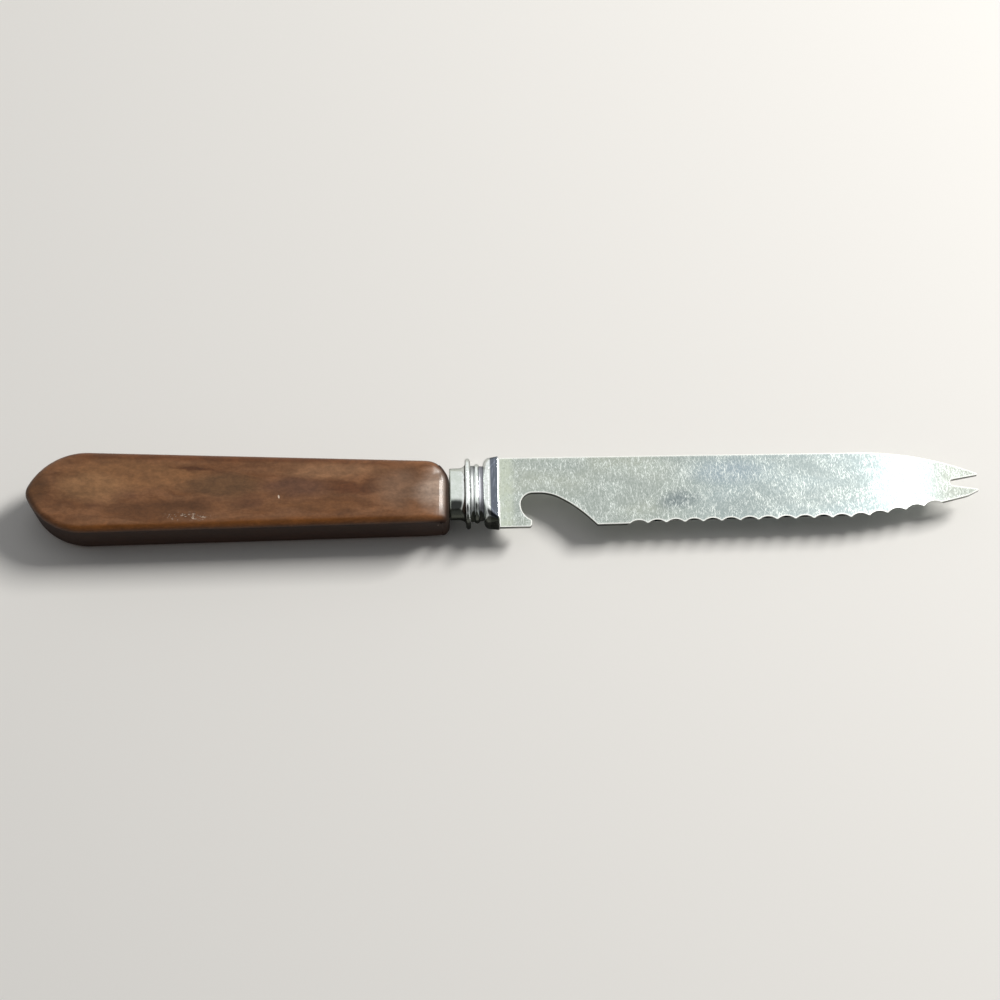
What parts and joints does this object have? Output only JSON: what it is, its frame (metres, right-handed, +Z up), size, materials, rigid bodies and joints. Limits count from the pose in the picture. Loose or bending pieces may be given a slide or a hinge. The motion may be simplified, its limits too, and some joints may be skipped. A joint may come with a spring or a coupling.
{
  "type": "cocktail knife",
  "caption": "Cocktail knife with a marbled slab handle, a moulded bright ferrule and a flat steel blade with a bottle-opener notch, a scalloped edge and a forked tip.",
  "frame": {"origin": "under the middle of the whole knife, on the surface that the handle lies on", "axes": "+X along the knife from the butt to the fork tips, +Y across it from the edge to the spine, +Z up from the surface, square to the flat of the blade"},
  "size_m": [0.235, 0.0222, 0.013],
  "materials": {
    "marbled_phenolic": "satin",
    "bright_plate": "polished",
    "satin_steel": "satin",
    "cement": "matte"
  },
  "bodies": {
    "root": {"handle": "marbled_phenolic", "ferrule": "bright_plate", "blade": "satin_steel", "tang_cement": "cement"}
  },
  "joints": []
}
